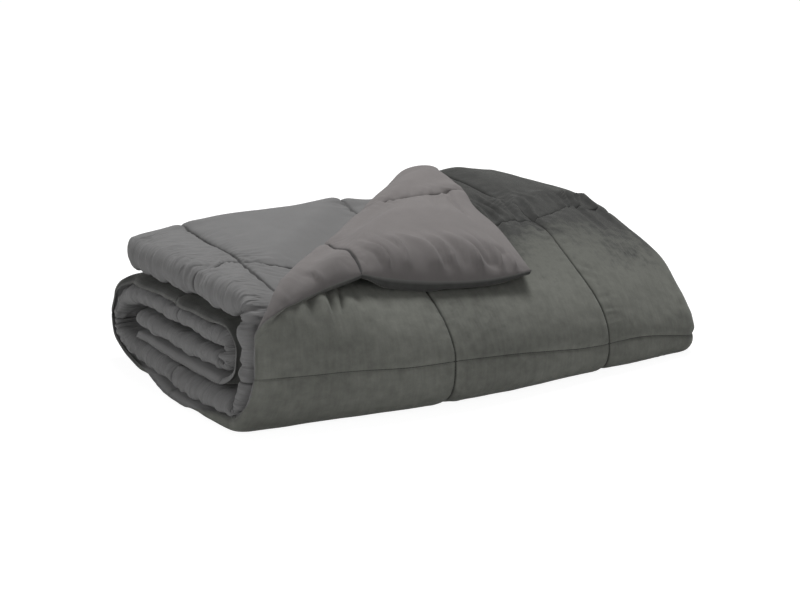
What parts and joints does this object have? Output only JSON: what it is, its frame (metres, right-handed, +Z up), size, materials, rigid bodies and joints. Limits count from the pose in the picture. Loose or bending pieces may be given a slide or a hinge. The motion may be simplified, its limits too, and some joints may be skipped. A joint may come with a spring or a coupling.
{
  "type": "duvet",
  "caption": "Square-quilted duvet doubled across its width, rolled flat along its length, one corner of the outer ply turned back over the top.",
  "frame": {"origin": "centre of the underside of the folded bundle, on the surface it rests on", "axes": "+Z up, X along the bundle's long side from the open folded layers towards the doubled edge, -Y towards the rolled front"},
  "size_m": [0.7928, 0.5084, 0.2591],
  "materials": {
    "plush_face": "short-pile plush, dark green-grey, soft nap with brushed streaks",
    "brushed_back": "brushed woven microfibre, mid warm grey, matt",
    "quilting_thread": "dark grey lockstitch thread sunk in the seams"
  },
  "bodies": {
    "root": {"duvet": "plush_face"}
  },
  "joints": []
}
